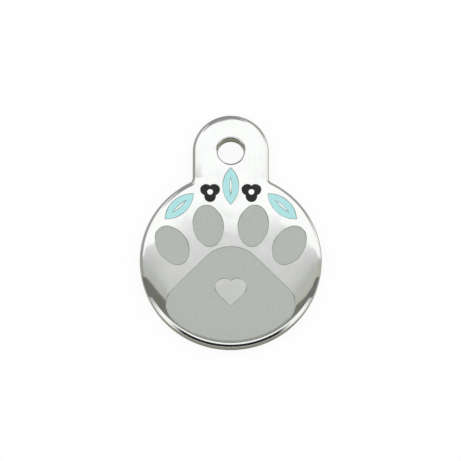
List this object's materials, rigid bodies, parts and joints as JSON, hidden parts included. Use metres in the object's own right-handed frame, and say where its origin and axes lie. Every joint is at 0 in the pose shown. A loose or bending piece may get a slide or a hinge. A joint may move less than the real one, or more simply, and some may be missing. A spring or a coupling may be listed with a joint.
{
  "type": "pet id tag",
  "caption": "Polished round metal tag with a holed head, and enamel fills in struck cells that show a paw, leaves and berries.",
  "frame": {"origin": "centre of the round disc, on the flat back", "axes": "+Y from the disc to the holed head, +Z out of the enamelled face, +X to the right seen from the front"},
  "size_m": [0.023, 0.0307, 0.0018],
  "materials": {
    "polished_metal": "mirror polish, bright plating",
    "grey_enamel": "baked enamel, gloss",
    "aqua_enamel": "baked enamel, gloss",
    "black_enamel": "baked enamel, gloss"
  },
  "bodies": {
    "root": {"tag_body": "polished_metal", "pad_enamel": "grey_enamel", "toe_enamel_outer_left": "grey_enamel", "toe_enamel_inner_left": "grey_enamel", "toe_enamel_inner_right": "grey_enamel", "toe_enamel_outer_right": "grey_enamel", "leaf_enamel_left": "aqua_enamel", "leaf_enamel_centre": "aqua_enamel", "leaf_enamel_right": "aqua_enamel", "berry_enamel_left": "black_enamel", "berry_enamel_right": "black_enamel"}
  },
  "joints": []
}
